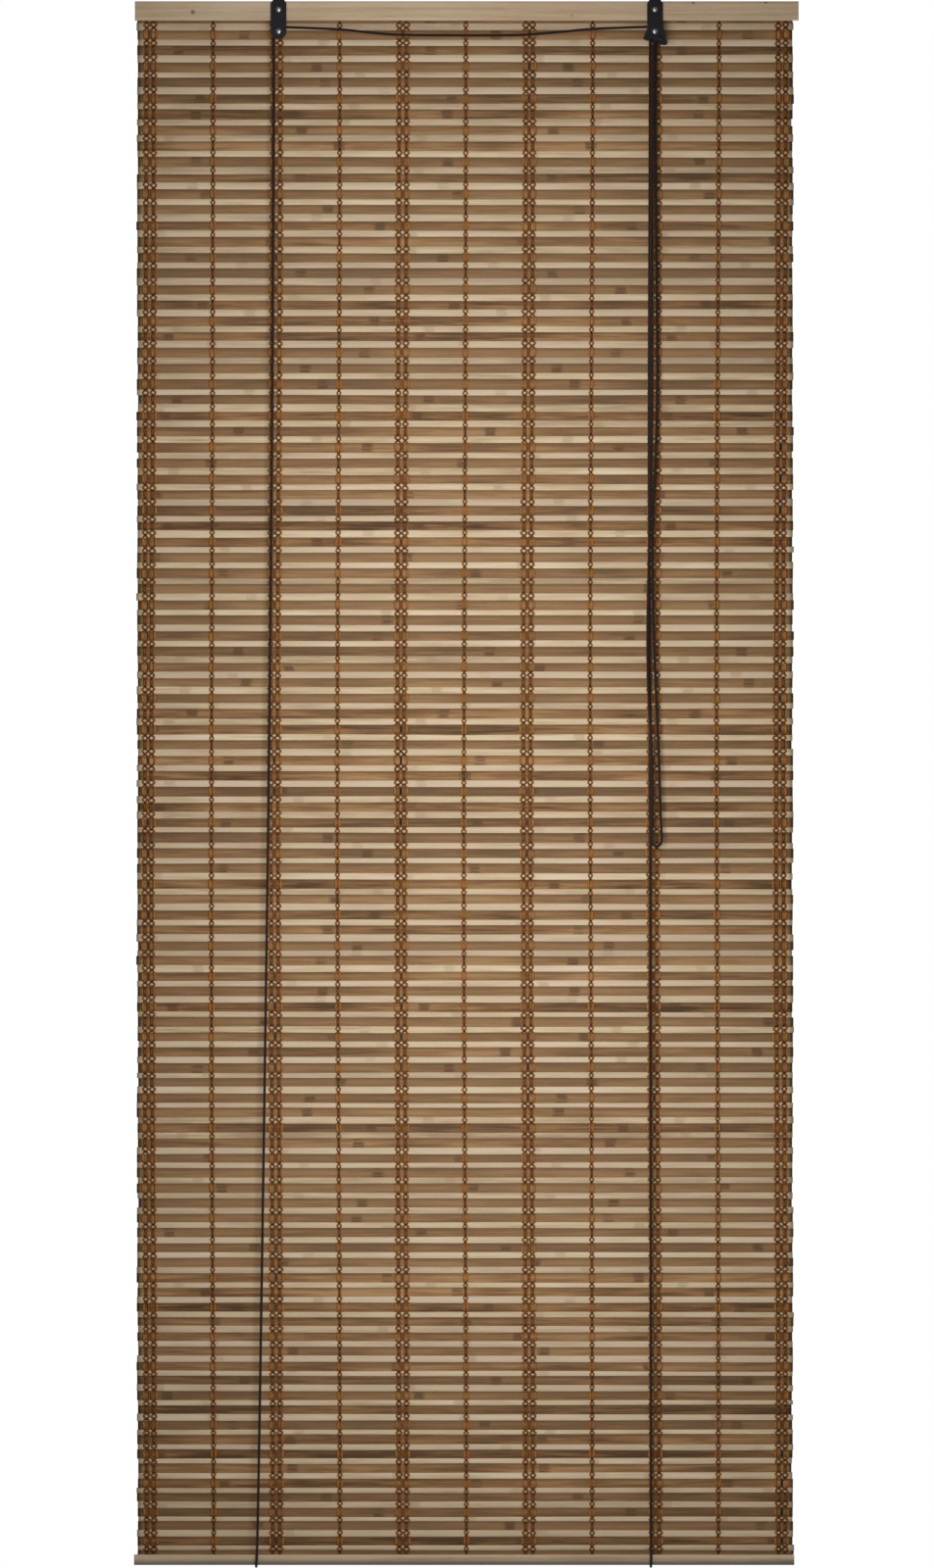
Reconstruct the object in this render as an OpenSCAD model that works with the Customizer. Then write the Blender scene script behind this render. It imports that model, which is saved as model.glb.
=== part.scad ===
// Bamboo roll-up blind. A mat of pale and dark slats, stitched together by columns of warp yarn, hangs
// behind a head batten. Two pulley brackets on the batten carry one lift cord, which runs up the back of
// the mat from its lower edge, comes round the bottom batten to the front and ends in a pull loop.
// X runs to the right as the blind is seen from the room, -Y faces the room and +Z is up. The origin lies
// midway between the two hanging holes, on the back face of the brackets' front plates.

/* [Head batten] */
// How far the head batten stands out past the slats, on the two ends together
head_overhang = 9; // [0:0.5:40]
// Height of the head batten
head_h = 22; // [18:0.5:36]
// Depth of the head batten from front to back
head_d = 11; // [11:0.5:20]
// Radius of the head batten's long edges
head_edge_r = 1.5; // [0.5:0.1:3]

/* [Bottom batten] */
// How far the bottom batten stands out past the slats, on the two ends together
bottom_overhang = 5; // [0:0.5:40]
// Height of the bottom batten
bottom_h = 12; // [10:0.5:24]
// Depth of the bottom batten from front to back
bottom_d = 10; // [9.5:0.5:18]
// Radius of the bottom batten's lower edges, which the cord rolls round
bottom_low_r = 4.5; // [2:0.1:4.6]
// Radius of the bottom batten's upper edges
bottom_top_r = 1.2; // [0.5:0.1:2]
// How far the bottom batten hangs to the right of the brackets' middle
bottom_shift = -3; // [-6:0.5:6]
// Height of mat that lies behind the bottom batten
bottom_lap = 5.5; // [4:0.5:9]

/* [Mat] */
// Length of every slat
slat_len = 755; // [600:1:1200]
// Number of pairs of one pale and one dark slat
pair_count = 101; // [20:1:110]
// Height of a pale slat
pale_h = 8; // [5:0.1:12]
// Thickness of a pale slat
pale_t = 2.6; // [2.2:0.1:4]
// Bevel of a pale slat's long edges
pale_bevel = 0.9; // [0.4:0.1:1]
// Height of a dark slat
dark_h = 9.7; // [6:0.1:14]
// Thickness of a dark slat
dark_t = 1.9; // [1.6:0.1:4]
// Width of the groove between two neighbouring slats
slat_gap = 0.3; // [0.1:0.1:0.8]
// Height of mat that lies behind the head batten
head_lap = 16; // [10:0.5:17]
// How far the mat hangs to the right of the brackets' middle
mat_shift = -2; // [-6:0.5:6]

/* [Warp yarn] */
// Distance of the outermost warp columns from the ends of the slats
warp_inset = 14; // [9:0.5:40]
// Width of one stitched chain of a narrow column
narrow_w = 6; // [3:0.1:12]
// Width of each of the two chains of a wide column
wide_w = 7.6; // [3:0.1:12]
// Gap between the two chains of a wide column
wide_gap = 0.4; // [0.2:0.1:4]
// Thickness of the yarn over the slats
warp_t = 0.6; // [0.3:0.1:1.2]

/* [Brackets] */
// Distance between the two hanging holes
hole_spacing = 433; // [200:1:520]
// Radius of a hanging hole
hole_r = 3; // [2:0.1:4]
// Radius of the eye round a hanging hole
eye_r = 6.5; // [5.5:0.1:8.5]
// Height of the hanging holes above the head batten
eye_rise = 9; // [8:0.5:14]
// Width of a bracket's front plate on the batten
strap_w = 18; // [17.5:0.5:24]
// Thickness of the bracket plates
plate_t = 1.2; // [0.8:0.1:2]
// Width of the tab that is clamped behind a front plate
tab_w = 15; // [10:0.5:17]
// Drop of the sheaves' axle below the head batten
axle_drop = 12.5; // [10.5:0.5:16]
// Drop of the fixing screw below the top of the head batten
screw_drop = 9.5; // [7:0.5:12]

/* [Sheaves] */
// Radius of the axle rivets
axle_r = 1.6; // [1.2:0.1:2]
// Radial clearance of a sheave on its axle
axle_clear = 0.05; // [0.02:0.01:0.1]
// Outer radius of a sheave
sheave_r = 6.6; // [5.6:0.1:7]
// Radius of a sheave at the bottom of its groove
groove_r = 3.4; // [3:0.1:3.6]
// Thickness of a sheave
sheave_w = 4; // [3.6:0.1:4.6]
// Thickness of a sheave's rim on each side of the groove
rim_t = 0.3; // [0.2:0.1:0.5]
// Gap beside each sheave
side_gap = 0.2; // [0.1:0.05:0.4]

/* [Cord lock] */
// Radius of the knurled lock roller
roller_r = 2; // [1.6:0.1:2]
// Depth of the roller's knurls
knurl_h = 0.2; // [0.1:0.05:0.4]
// Number of knurls round the roller
knurl_count = 16; // [10:1:24]
// Radius of the roller's journals
journal_r = 1; // [0.6:0.1:1.2]
// Clearance of the journals in their slots
slot_clear = 0.05; // [0.02:0.01:0.1]
// Travel of the roller along its slots
roller_travel = 3.6; // [2:0.1:3.6]
// Lean of the slots from the upright
slot_lean = 22.5; // [15:0.5:25]
// Distance of the resting roller to the right of the axle
roller_right = 5.2; // [5.2:0.1:6]
// Distance of the resting roller below the axle
roller_below = 9.5; // [9.5:0.1:10.5]
// How far the lock bracket's front plate flares to the right
front_flare = 5.5; // [4:0.1:8]
// How far the lock bracket's rear plate flares to either side
rear_flare = 5.6; // [4:0.1:8]
// How far the lock bracket's right ears hang below the slots of the roller
ear_drop = 3; // [0:0.5:4]

/* [Fasteners] */
// Radius of the fixing screws' shanks
screw_r = 1.5; // [1:0.1:2]
// Length of the fixing screws in the batten
screw_bite = 8; // [5:0.5:10]
// Radius of the domed heads of screws and rivets
dome_r = 3.2; // [2.6:0.1:4]
// Height of the domed heads
dome_h = 1.5; // [1:0.1:2.5]
// Height of the rivets' rear heads
rear_head_h = 0.8; // [0.5:0.1:1.2]
// Radius of the staples' wire
staple_r = 0.6; // [0.4:0.1:0.8]
// Width of a staple between its legs
staple_w = 12; // [8:0.5:16]
// Depth that a staple is driven into a batten
staple_bite = 6; // [4:0.5:8]
// Radius of the wire of the cord anchors
anchor_r = 0.8; // [0.5:0.1:1.1]
// Width of a cord anchor between its legs
anchor_w = 8; // [6:0.5:12]
// Room behind the mat inside a cord anchor
anchor_room = 4.4; // [4.2:0.1:8]
// Distance of a cord anchor outwards from the nearest wide warp column
anchor_off = 15.9; // [14:0.1:30]

/* [Cord] */
// Diameter of the lift cord
cord_d = 3; // [2.4:0.1:3.2]
// Radius of the knots at the cord's ends
knot_r = 3; // [2.6:0.1:3.4]

/* [Hidden] */
round_fn = 48;

// Colours of the blind's materials
PALE_WOOD = "tan";
SLAT_BROWN = "peru";
YARN_BROWN = "saddlebrown";
BLACK_METAL = "darkslategray";
BRIGHT_METAL = "silver";
CORD_BROWN = "#281a14";

// Widths that follow the slats' length, and the pitch of the eleven warp columns along them
head_len = slat_len + head_overhang;
bottom_len = slat_len + bottom_overhang;
warp_pitch = (slat_len / 2 - warp_inset) / 5;

// Heights of the battens and of the mat
head_top = -eye_rise;
head_bottom = head_top - head_h;
pitch = pale_h + dark_h;
mat_top = head_bottom + head_lap;
mat_bottom = mat_top - pair_count * pitch;
bottom_top = mat_bottom + bottom_lap;
bottom_low = bottom_top - bottom_h;

// Depths from the brackets' front plates to the back of the mat
head_front = plate_t;
head_back = head_front + head_d;
mat_t = max(pale_t, dark_t);
mat_front = head_back + warp_t;
mat_mid = mat_front + mat_t / 2;
mat_back = mat_front + mat_t;

// Places on the brackets
bracket_x = hole_spacing / 2;
axle_z = head_bottom - axle_drop;
screw_z = head_top - screw_drop;
shoulder_top = head_top + 1.5;
shoulder_low = head_top - 2.5;
first_sheave_y = side_gap;
second_sheave_y = first_sheave_y + sheave_w + side_gap;
left_rear_y = second_sheave_y;
right_rear_y = second_sheave_y + sheave_w + side_gap;

// Places of the lock roller and its slots
roller_x = bracket_x + roller_right;
roller_z = axle_z - roller_below;
slot_r = journal_r + slot_clear;
ear_r = 2.2;
front_ear_z = roller_z - slot_r - ear_r - ear_drop;
rear_left_ear_z = axle_z - 6.5;

// Places of the staples, counted in warp columns from the middle of the mat
STAPLE_COLUMNS = [-4.5, -2.5, -0.5, 0.5, 2.5, 4.5];
head_staple_z = mat_top - pale_h / 2;
bottom_staple_z = mat_bottom + bottom_lap / 2;
anchor_z = mat_top - pale_h - dark_h / 2 + 1;

// Places of the cord anchors and of the knots in them
anchor_x = 3 * warp_pitch + anchor_off;
anchor_back = mat_back + anchor_room;
knot_z = -12.4;

// The lift cord's route from the left anchor behind the head batten to the right one
CORD_ROUTE = [
    // Up the left anchor, down the back of the mat and round the bottom batten
    [-anchor_x, 18.2, -13], [-anchor_x, 18.2, -40], [-236, 18.2, -650], [-239, 18.2, -1300],
    [-242.4, 18.2, -1798],
    [-242.5, 17.8, -1803.3], [-242.5, 16, -1807.3], [-242.5, 12.5, -1810.2], [-242.5, 8.5, -1811],
    [-242.4, 5.8, -1811], [-242.3, 3.3, -1810.25], [-242.1, 1.15, -1807.95], [-242, 0.3, -1804.8],
    // Up the front of the mat to the left sheave
    [-241.5, 0.4, -1797], [-232.5, 1.4, -1250], [-225.5, 1.8, -684], [-222, 2.2, -120], [-221.7, 2.2, -43.5],
    [-221, 2.2, -40.9], [-219.1, 2.2, -39], [-216.5, 2.2, -38.3],
    // Across to the lock bracket and over its front sheave
    [-205, 2.2, -39], [-165, 2.2, -42.5], [-90, 2.2, -46.8], [0, 2.2, -47.8], [90, 2.2, -46.6],
    [165, 2.2, -42.2], [205, 2.2, -38.8], [216.5, 2.2, -38.3], [219.1, 2.2, -39], [221, 2.2, -40.9],
    [221.7, 2.2, -43.5], [221.2, 2.2, -45.7], [218.6, 2.2, -50], [217, 2.2, -53], [215.6, 2.2, -56.5],
    // Down and up the pull loop
    [214.7, 2.2, -61], [214.3, 2.2, -70], [214.2, 2.2, -150], [213.7, 2.2, -400], [213.5, 2, -700],
    [213.3, 1.2, -976], [214.9, 1.8, -979.8], [218.7, 2.8, -981.4], [222.5, 3.8, -979.8], [224.1, 4.4, -976],
    [223.4, 4.6, -950], [220.2, 5, -850], [217, 5.4, -730], [216.6, 6, -400], [216.8, 6.4, -150],
    [217.3, 6.4, -90], [217.5, 6.4, -57],
    // Over the lock bracket's rear sheave
    [217.7, 6.4, -53], [218.6, 6.4, -50], [221.2, 6.4, -45.7], [221.7, 6.4, -43.5], [221, 6.4, -40.9],
    [219.1, 6.4, -39], [216.5, 6.4, -38.3], [213.9, 6.4, -39], [212, 6.4, -40.9], [211.3, 6.4, -43.5],
    // Down the front of the mat, round the bottom batten and up the back to the right anchor
    [211.1, 6.4, -60], [211, 6, -200], [211, 4.6, -700], [211.5, 2.6, -1250], [212, 0.4, -1797],
    [212, 0.3, -1804.8], [212, 1.15, -1807.95], [212, 3.3, -1810.25], [212, 5.8, -1811], [212, 8.5, -1811],
    [212, 12.5, -1810.2], [212, 16, -1807.3], [212, 17.8, -1803.3], [212, 18.2, -1798], [218, 18.2, -1300],
    [226, 18.2, -650], [anchor_x, 18.2, -40], [anchor_x, 18.2, -13]
];
cord_sides = 8;

// Points on an arc about c, from angle a to angle b in n steps
function arc(c, r, a, b, n) =
    [for (i = [0 : n]) c + r * [cos(a + (b - a) * i / n), sin(a + (b - a) * i / n)]];

// Points of a curve that widens downwards as the square of the drop
function flare(side, half, reach, z_top, z_low, n) =
    [for (i = [0 : n]) [side * (half + reach * pow(i / n, 2)), z_top + (z_low - z_top) * i / n]];

// Outline of a bar's section with one radius on its upper edges and another on its lower ones
function bar_section(y, z, d, h, r_top, r_low) = concat(
    arc([y + d - r_top, z + h - r_top], r_top, 0, 90, 5),
    arc([y + r_top, z + h - r_top], r_top, 90, 180, 5),
    arc([y + r_low, z + r_low], r_low, 180, 270, 8),
    arc([y + d - r_low, z + r_low], r_low, 270, 360, 8)
);

// One side of a pale slat's section from its upper edge to its lower one: side -1 is the front, 1 the back
function pale_side(side, top, low) =
    let (face = mat_mid + side * pale_t / 2, edge = face - side * pale_bevel)
        [[edge, top], [face, top - pale_bevel], [face, low + pale_bevel], [edge, low]];

// One side of a dark slat's section, which is flat
function dark_side(side, top, low) =
    let (face = mat_mid + side * dark_t / 2) [[face, top], [face, low]];

// One side of the whole mat: every pair is a bevelled pale slat over a flat dark one
function mat_side(side) = [
    for (k = [0 : pair_count - 1])
        let (top = mat_top - k * pitch, mid = top - pale_h, low = top - pitch, g = slat_gap / 2)
            each concat(pale_side(side, top - g, mid + g), dark_side(side, mid - g, low + g))
];

function backwards(points) = [for (i = [len(points) - 1 : -1 : 0]) points[i]];

// Carries a section drawn in Y and Z along X
module along_x(length, x = 0) {
    translate([x, 0, 0]) rotate([90, 0, 90]) linear_extrude(length, center = true) children();
}

// Gives an outline drawn in X and Z the thickness t, from its front face at y backwards
module plate(y, t) {
    translate([0, y + t, 0]) rotate([90, 0, 0]) linear_extrude(t) children();
}

// A round rod along Y from y0 back to y1
module rod_y(x, z, r, y0, y1) {
    translate([x, y1, z]) rotate([90, 0, 0]) cylinder(r = r, h = y1 - y0, $fn = round_fn);
}

// A body of revolution about an axis along Y: the profile's height counts backwards from y
module turned_y(x, y, z) {
    translate([x, y, z]) rotate([-90, 0, 0]) rotate_extrude($fn = round_fn) children();
}

// The two legs of a staple at x, of the wire width r to either side, from y0 back to y1
module staple_legs(x, z, w, r, y0, y1) {
    for (side = [-1, 1]) translate([x + side * w / 2 - r, y0, z - r]) cube([2 * r, y1 - y0, 2 * r]);
}

// The slots that the legs of a row of staples leave in the back of a batten
module staple_slots(z) {
    for (c = STAPLE_COLUMNS)
        staple_legs(mat_shift + c * warp_pitch, z, staple_w, staple_r, head_back - staple_bite, head_back + 1);
}

module head_batten() {
    color(PALE_WOOD) difference() {
        along_x(head_len)
            polygon(bar_section(head_front, head_bottom, head_d, head_h, head_edge_r, head_edge_r));
        for (x = [-bracket_x, bracket_x]) rod_y(x, screw_z, screw_r, head_front - 1, head_front + screw_bite);
        staple_slots(head_staple_z);
        for (x = [-anchor_x, anchor_x])
            staple_legs(x, anchor_z, anchor_w, anchor_r, head_back - staple_bite, head_back + 1);
    }
}

module bottom_batten() {
    color(PALE_WOOD) difference() {
        along_x(bottom_len, bottom_shift)
            polygon(bar_section(head_back - bottom_d, bottom_low, bottom_d, bottom_h, bottom_top_r, bottom_low_r));
        staple_slots(bottom_staple_z);
    }
}

// All the slats as one ridged wall
module slat_mat() {
    color(SLAT_BROWN) along_x(slat_len, mat_shift)
        polygon(concat(mat_side(-1), backwards(mat_side(1))));
}

// One stitched chain: a band that goes down the front of the mat and up its back
module warp_chain(x, w) {
    color(YARN_BROWN) along_x(w, x) difference() {
        translate([mat_front - warp_t, mat_bottom - warp_t])
            square([mat_t + 2 * warp_t, mat_top - mat_bottom + 2 * warp_t]);
        translate([mat_front, mat_bottom]) square([mat_t, mat_top - mat_bottom]);
    }
}

// The wide columns are the first and every second one after it, counted from the left
module warp_wide(i) {
    x = mat_shift + (2 * i - 7) * warp_pitch;
    for (side = [-1, 1]) warp_chain(x + side * (wide_w + wide_gap) / 2, wide_w);
}

module warp_narrow(i) {
    warp_chain(mat_shift + (2 * i - 6) * warp_pitch, narrow_w);
}

// The eye, its neck and the shoulders that a front plate has above the batten
function eye_outline() = arc([0, 0], eye_r, 0, 180, 16);

module plain_front_outline() {
    polygon(concat(
        eye_outline(),
        [[-eye_r, shoulder_top], [-strap_w / 2, shoulder_low]],
        arc([0, axle_z], strap_w / 2, 180, 360, 20),
        [[strap_w / 2, shoulder_low], [eye_r, shoulder_top]]
    ));
}

// The lock bracket's front plate flares to the right, round the slot of the roller
module lock_front_outline() {
    corner_r = strap_w / 3;
    polygon(concat(
        eye_outline(),
        [[-eye_r, shoulder_top], [-strap_w / 2, shoulder_low]],
        arc([corner_r - strap_w / 2, axle_z - strap_w / 2 + corner_r], corner_r, 180, 260, 8),
        arc([strap_w / 2 + front_flare - ear_r, front_ear_z + ear_r], ear_r, 260, 360, 6),
        backwards(flare(1, strap_w / 2, front_flare, head_bottom, front_ear_z + ear_r + 1, 8)),
        [[strap_w / 2, shoulder_low], [eye_r, shoulder_top]]
    ));
}

// The lock bracket's rear plate below the batten is a bell with an ear on either side
module lock_rear_outline() {
    half = tab_w / 2;
    polygon(concat(
        flare(-1, half, rear_flare, head_bottom, rear_left_ear_z, 8),
        arc([ear_r - half - rear_flare, rear_left_ear_z - 1], ear_r, 180, 260, 6),
        arc([half + rear_flare - ear_r, front_ear_z + ear_r], ear_r, 260, 360, 6),
        backwards(flare(1, half, rear_flare, head_bottom, front_ear_z + ear_r + 1, 8))
    ));
}

module plain_rear_outline() {
    polygon(concat(
        [[-tab_w / 2, head_bottom]],
        arc([0, axle_z], tab_w / 2, 180, 360, 20),
        [[tab_w / 2, head_bottom]]
    ));
}

// The slot that a journal of the lock roller rises in
module roller_slot(y0, y1) {
    translate([roller_x, 0, roller_z]) rotate([0, slot_lean, 0]) {
        rod_y(0, 0, slot_r, y0, y1);
        rod_y(0, roller_travel, slot_r, y0, y1);
        translate([-slot_r, y0, 0]) cube([2 * slot_r, y1 - y0, roller_travel]);
    }
}

// A front plate: the outline with its hanging hole, its screw hole and its axle hole
module front_plate(x) {
    difference() {
        translate([x, 0, 0]) plate(-plate_t, plate_t) children();
        rod_y(x, 0, hole_r, -plate_t - 1, 1);
        rod_y(x, screw_z, screw_r, -plate_t - 1, 1);
        rod_y(x, axle_z, axle_r, -plate_t - 1, 1);
    }
}

// A rear plate: a tab behind the front plate, a shelf under the batten and a cheek behind the sheaves
module rear_plate(x, cheek_y) {
    difference() {
        translate([x, 0, 0]) {
            translate([-tab_w / 2, 0, head_bottom - plate_t])
                cube([tab_w, plate_t, shoulder_low - head_bottom + plate_t]);
            translate([-tab_w / 2, 0, head_bottom - plate_t]) cube([tab_w, cheek_y + plate_t, plate_t]);
            plate(cheek_y, plate_t) children();
        }
        rod_y(x, screw_z, screw_r, -1, plate_t + 1);
        rod_y(x, axle_z, axle_r, cheek_y - 1, cheek_y + plate_t + 1);
    }
}

module left_front_plate() {
    color(BLACK_METAL) front_plate(-bracket_x) plain_front_outline();
}

module left_rear_plate() {
    color(BLACK_METAL) rear_plate(-bracket_x, left_rear_y) plain_rear_outline();
}

module right_front_plate() {
    color(BLACK_METAL) difference() {
        front_plate(bracket_x) lock_front_outline();
        roller_slot(-plate_t - 1, 1);
    }
}

module right_rear_plate() {
    color(BLACK_METAL) difference() {
        rear_plate(bracket_x, right_rear_y) lock_rear_outline();
        roller_slot(right_rear_y - 1, right_rear_y + plate_t + 1);
    }
}

// A wheel with a round groove and its front face at y
module sheave(x, y) {
    bore_r = axle_r + axle_clear;
    half = sheave_w / 2 - rim_t;
    color(BLACK_METAL) turned_y(x, y, axle_z) polygon(concat(
        [[bore_r, 0], [sheave_r, 0], [sheave_r, rim_t]],
        arc([groove_r + half, sheave_w / 2], half, 270, 90, 10),
        [[sheave_r, sheave_w - rim_t], [sheave_r, sheave_w], [bore_r, sheave_w]]
    ));
}

// The profile of a domed head that stands forward of zero
function dome(r, h) =
    let (ball = (r * r + h * h) / (2 * h), reach = asin(r / ball))
        [for (i = [0 : 6]) [ball * sin(reach * i / 6), ball - h - ball * cos(reach * i / 6)]];

// An axle rivet: a domed head in front, the axle and a flat head behind the rear plate
module axle(x, cheek_y) {
    back = 2 * plate_t + cheek_y;
    color(BRIGHT_METAL) turned_y(x, -plate_t, axle_z) polygon(concat(
        dome(dome_r, dome_h),
        [[axle_r, 0], [axle_r, back], [dome_r, back], [dome_r, back + rear_head_h], [0, back + rear_head_h]]
    ));
}

// A fixing screw: a domed head on the front plate and a pointed shank in the head batten
module screw(x) {
    shank = 2 * plate_t + screw_bite;
    color(BRIGHT_METAL) turned_y(x, -plate_t, screw_z) polygon(concat(
        dome(dome_r, dome_h),
        [[screw_r, 0], [screw_r, shank - 2 * screw_r], [0, shank]]
    ));
}

// The knurled roller that jams the cord, with a journal at each end
module lock_roller() {
    y0 = side_gap;
    y1 = right_rear_y - side_gap;
    color(BRIGHT_METAL) union() {
        translate([roller_x, 0, roller_z]) plate(y0, y1 - y0) polygon([
            for (i = [0 : 2 * knurl_count - 1])
                let (r = roller_r - (i % 2) * knurl_h, a = 180 * i / knurl_count) r * [cos(a), sin(a)]
        ]);
        rod_y(roller_x, roller_z, journal_r, -plate_t, right_rear_y + plate_t);
    }
}

// A flat wire staple at x: two legs from y_tip back to y and a crown across them behind y
module wire_staple(x, z, w, r, y, y_tip) {
    staple_legs(x, z, w, r, y_tip, y + r);
    translate([x - w / 2 - r, y, z - r]) cube([w + 2 * r, 2 * r, 2 * r]);
}

module staples(z, y) {
    color(BRIGHT_METAL) for (c = STAPLE_COLUMNS)
        wire_staple(mat_shift + c * warp_pitch, z, staple_w, staple_r, y, head_back - staple_bite);
}

module cord_anchor(x) {
    color(BRIGHT_METAL) wire_staple(x, anchor_z, anchor_w, anchor_r, anchor_back, head_back - staple_bite);
}

// A knot at an end of the cord: a barrel of two turns with a waist between them
module knot(x) {
    y = CORD_ROUTE[0][1];
    turn_r = knot_r / 2;
    color(CORD_BROWN) translate([x, y, knot_z]) rotate_extrude($fn = round_fn) polygon(concat(
        [[0, -knot_r]],
        arc([knot_r - turn_r, -turn_r], turn_r, -90, 60, 8),
        arc([knot_r - turn_r, turn_r], turn_r, -60, 90, 8),
        [[0, knot_r]]
    ));
}

// Unit direction of the cord at point i of its route
function unit(v) = v / norm(v);
function heading(p, i) = unit(p[min(i + 1, len(p) - 1)] - p[max(i - 1, 0)]);

// Sideways direction of each ring, carried on from the ring before so that the tube doesn't twist
function sideways(p, i = 0, last = [1, 0, 0]) =
    i == len(p) ? [] :
    let (h = heading(p, i), s = unit(last - (last * h) * h)) concat([s], sideways(p, i + 1, s));

// A tube of the radius r along the points p, with a flat end at either end
module tube(p, r, sides) {
    across = sideways(p);
    rings = [
        for (i = [0 : len(p) - 1])
            let (u = across[i], v = cross(heading(p, i), u))
                for (k = [0 : sides - 1]) p[i] + r * (cos(360 * k / sides) * u + sin(360 * k / sides) * v)
    ];
    last = (len(p) - 1) * sides;
    polyhedron(rings, concat(
        [[for (k = [0 : sides - 1]) k]],
        [for (i = [0 : len(p) - 2], k = [0 : sides - 1])
            let (a = i * sides, n = (k + 1) % sides) [a + k, a + sides + k, a + sides + n, a + n]],
        [[for (k = [sides - 1 : -1 : 0]) last + k]]
    ));
}

module lift_cord() {
    color(CORD_BROWN) tube(CORD_ROUTE, cord_d / 2, cord_sides);
}

head_batten();
bottom_batten();
slat_mat();
for (i = [1 : 6]) warp_wide(i);
for (i = [1 : 5]) warp_narrow(i);
left_front_plate();
left_rear_plate();
sheave(-bracket_x, first_sheave_y);  // left_sheave
axle(-bracket_x, left_rear_y);  // left_axle
screw(-bracket_x);  // left_screw
right_front_plate();
right_rear_plate();
sheave(bracket_x, first_sheave_y);  // right_front_sheave
sheave(bracket_x, second_sheave_y);  // right_rear_sheave
axle(bracket_x, right_rear_y);  // right_axle
screw(bracket_x);  // right_screw
lock_roller();
staples(head_staple_z, mat_mid + pale_t / 2);  // head_staples
staples(bottom_staple_z, mat_mid + dark_t / 2);  // bottom_staples
cord_anchor(-anchor_x);  // left_cord_anchor
cord_anchor(anchor_x);  // right_cord_anchor
knot(-anchor_x);  // left_knot
knot(anchor_x);  // right_knot
lift_cord();
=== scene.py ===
"""Looks of a bamboo roll-up blind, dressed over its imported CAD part.

Lengths are millimetres in the part's frame (X to the right, -Y to the room, Z up) until a mesh is made.
"""

import bpy
import numpy as np
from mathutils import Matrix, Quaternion, Vector


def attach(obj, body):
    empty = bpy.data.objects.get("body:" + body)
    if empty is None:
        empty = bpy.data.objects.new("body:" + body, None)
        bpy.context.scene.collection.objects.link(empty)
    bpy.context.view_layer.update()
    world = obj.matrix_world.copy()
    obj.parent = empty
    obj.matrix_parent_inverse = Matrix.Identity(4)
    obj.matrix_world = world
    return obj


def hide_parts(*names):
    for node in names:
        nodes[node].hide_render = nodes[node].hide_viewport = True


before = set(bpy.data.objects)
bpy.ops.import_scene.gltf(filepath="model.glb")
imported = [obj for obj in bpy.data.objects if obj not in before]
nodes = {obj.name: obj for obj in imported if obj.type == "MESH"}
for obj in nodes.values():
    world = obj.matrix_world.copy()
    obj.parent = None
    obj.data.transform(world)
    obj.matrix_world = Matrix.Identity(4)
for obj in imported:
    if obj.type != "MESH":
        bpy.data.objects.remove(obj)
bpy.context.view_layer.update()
scene = bpy.context.scene
chance = np.random.default_rng(8640)

# Metres in a millimetre, and about one full turn for random phases
MM = 0.001
ANY_TURN = 6.28

# The mat: pairs of a pale slat over a dark one, counted down from its upper edge
PAIRS = 101
PITCH = 17.7
PALE_HEIGHT = 8.0
PALE_THICK = 2.6
DARK_THICK = 1.9
MAT_TOP = -15.0
MAT_LOW = MAT_TOP - PAIRS * PITCH
MAT_MIDDLE = 14.1
SLAT_LEFT = -379.5
SLAT_RIGHT = 375.5

# The battens that press the yarn flat
HEAD_LOW = -31.0
FOOT_TOP = -1797.2

# The warp columns, by the CAD node that each stands for: their middles
COLUMN_STEP = 72.7
COLUMN_MIDDLE = -2.0
WIDE = {f"warp_wide_{i}": COLUMN_MIDDLE + (2 * i - 7) * COLUMN_STEP for i in range(1, 7)}
NARROW = {f"warp_narrow_{i}": COLUMN_MIDDLE + (2 * i - 6) * COLUMN_STEP for i in range(1, 6)}

# The yarn: the gap between a wide column's two chains, how far a yarn swings from its chain's middle, and
# half its width and thickness
CHAIN_GAP = 8.0
WIDE_SWING = 3.25
WIDE_YARN_HALF = 1.5
NARROW_SWING = 2.3
NARROW_YARN_HALF = 1.25
YARN_HALF_THICK = 0.5

# The lift cord and its knots: the corners round their tubes, and a knot's height above the cord's end
CORD_THICK = 3.0
CORD_SIDES = 8
KNOT_SIDES = 10
KNOT_RISE = 0.6

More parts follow.
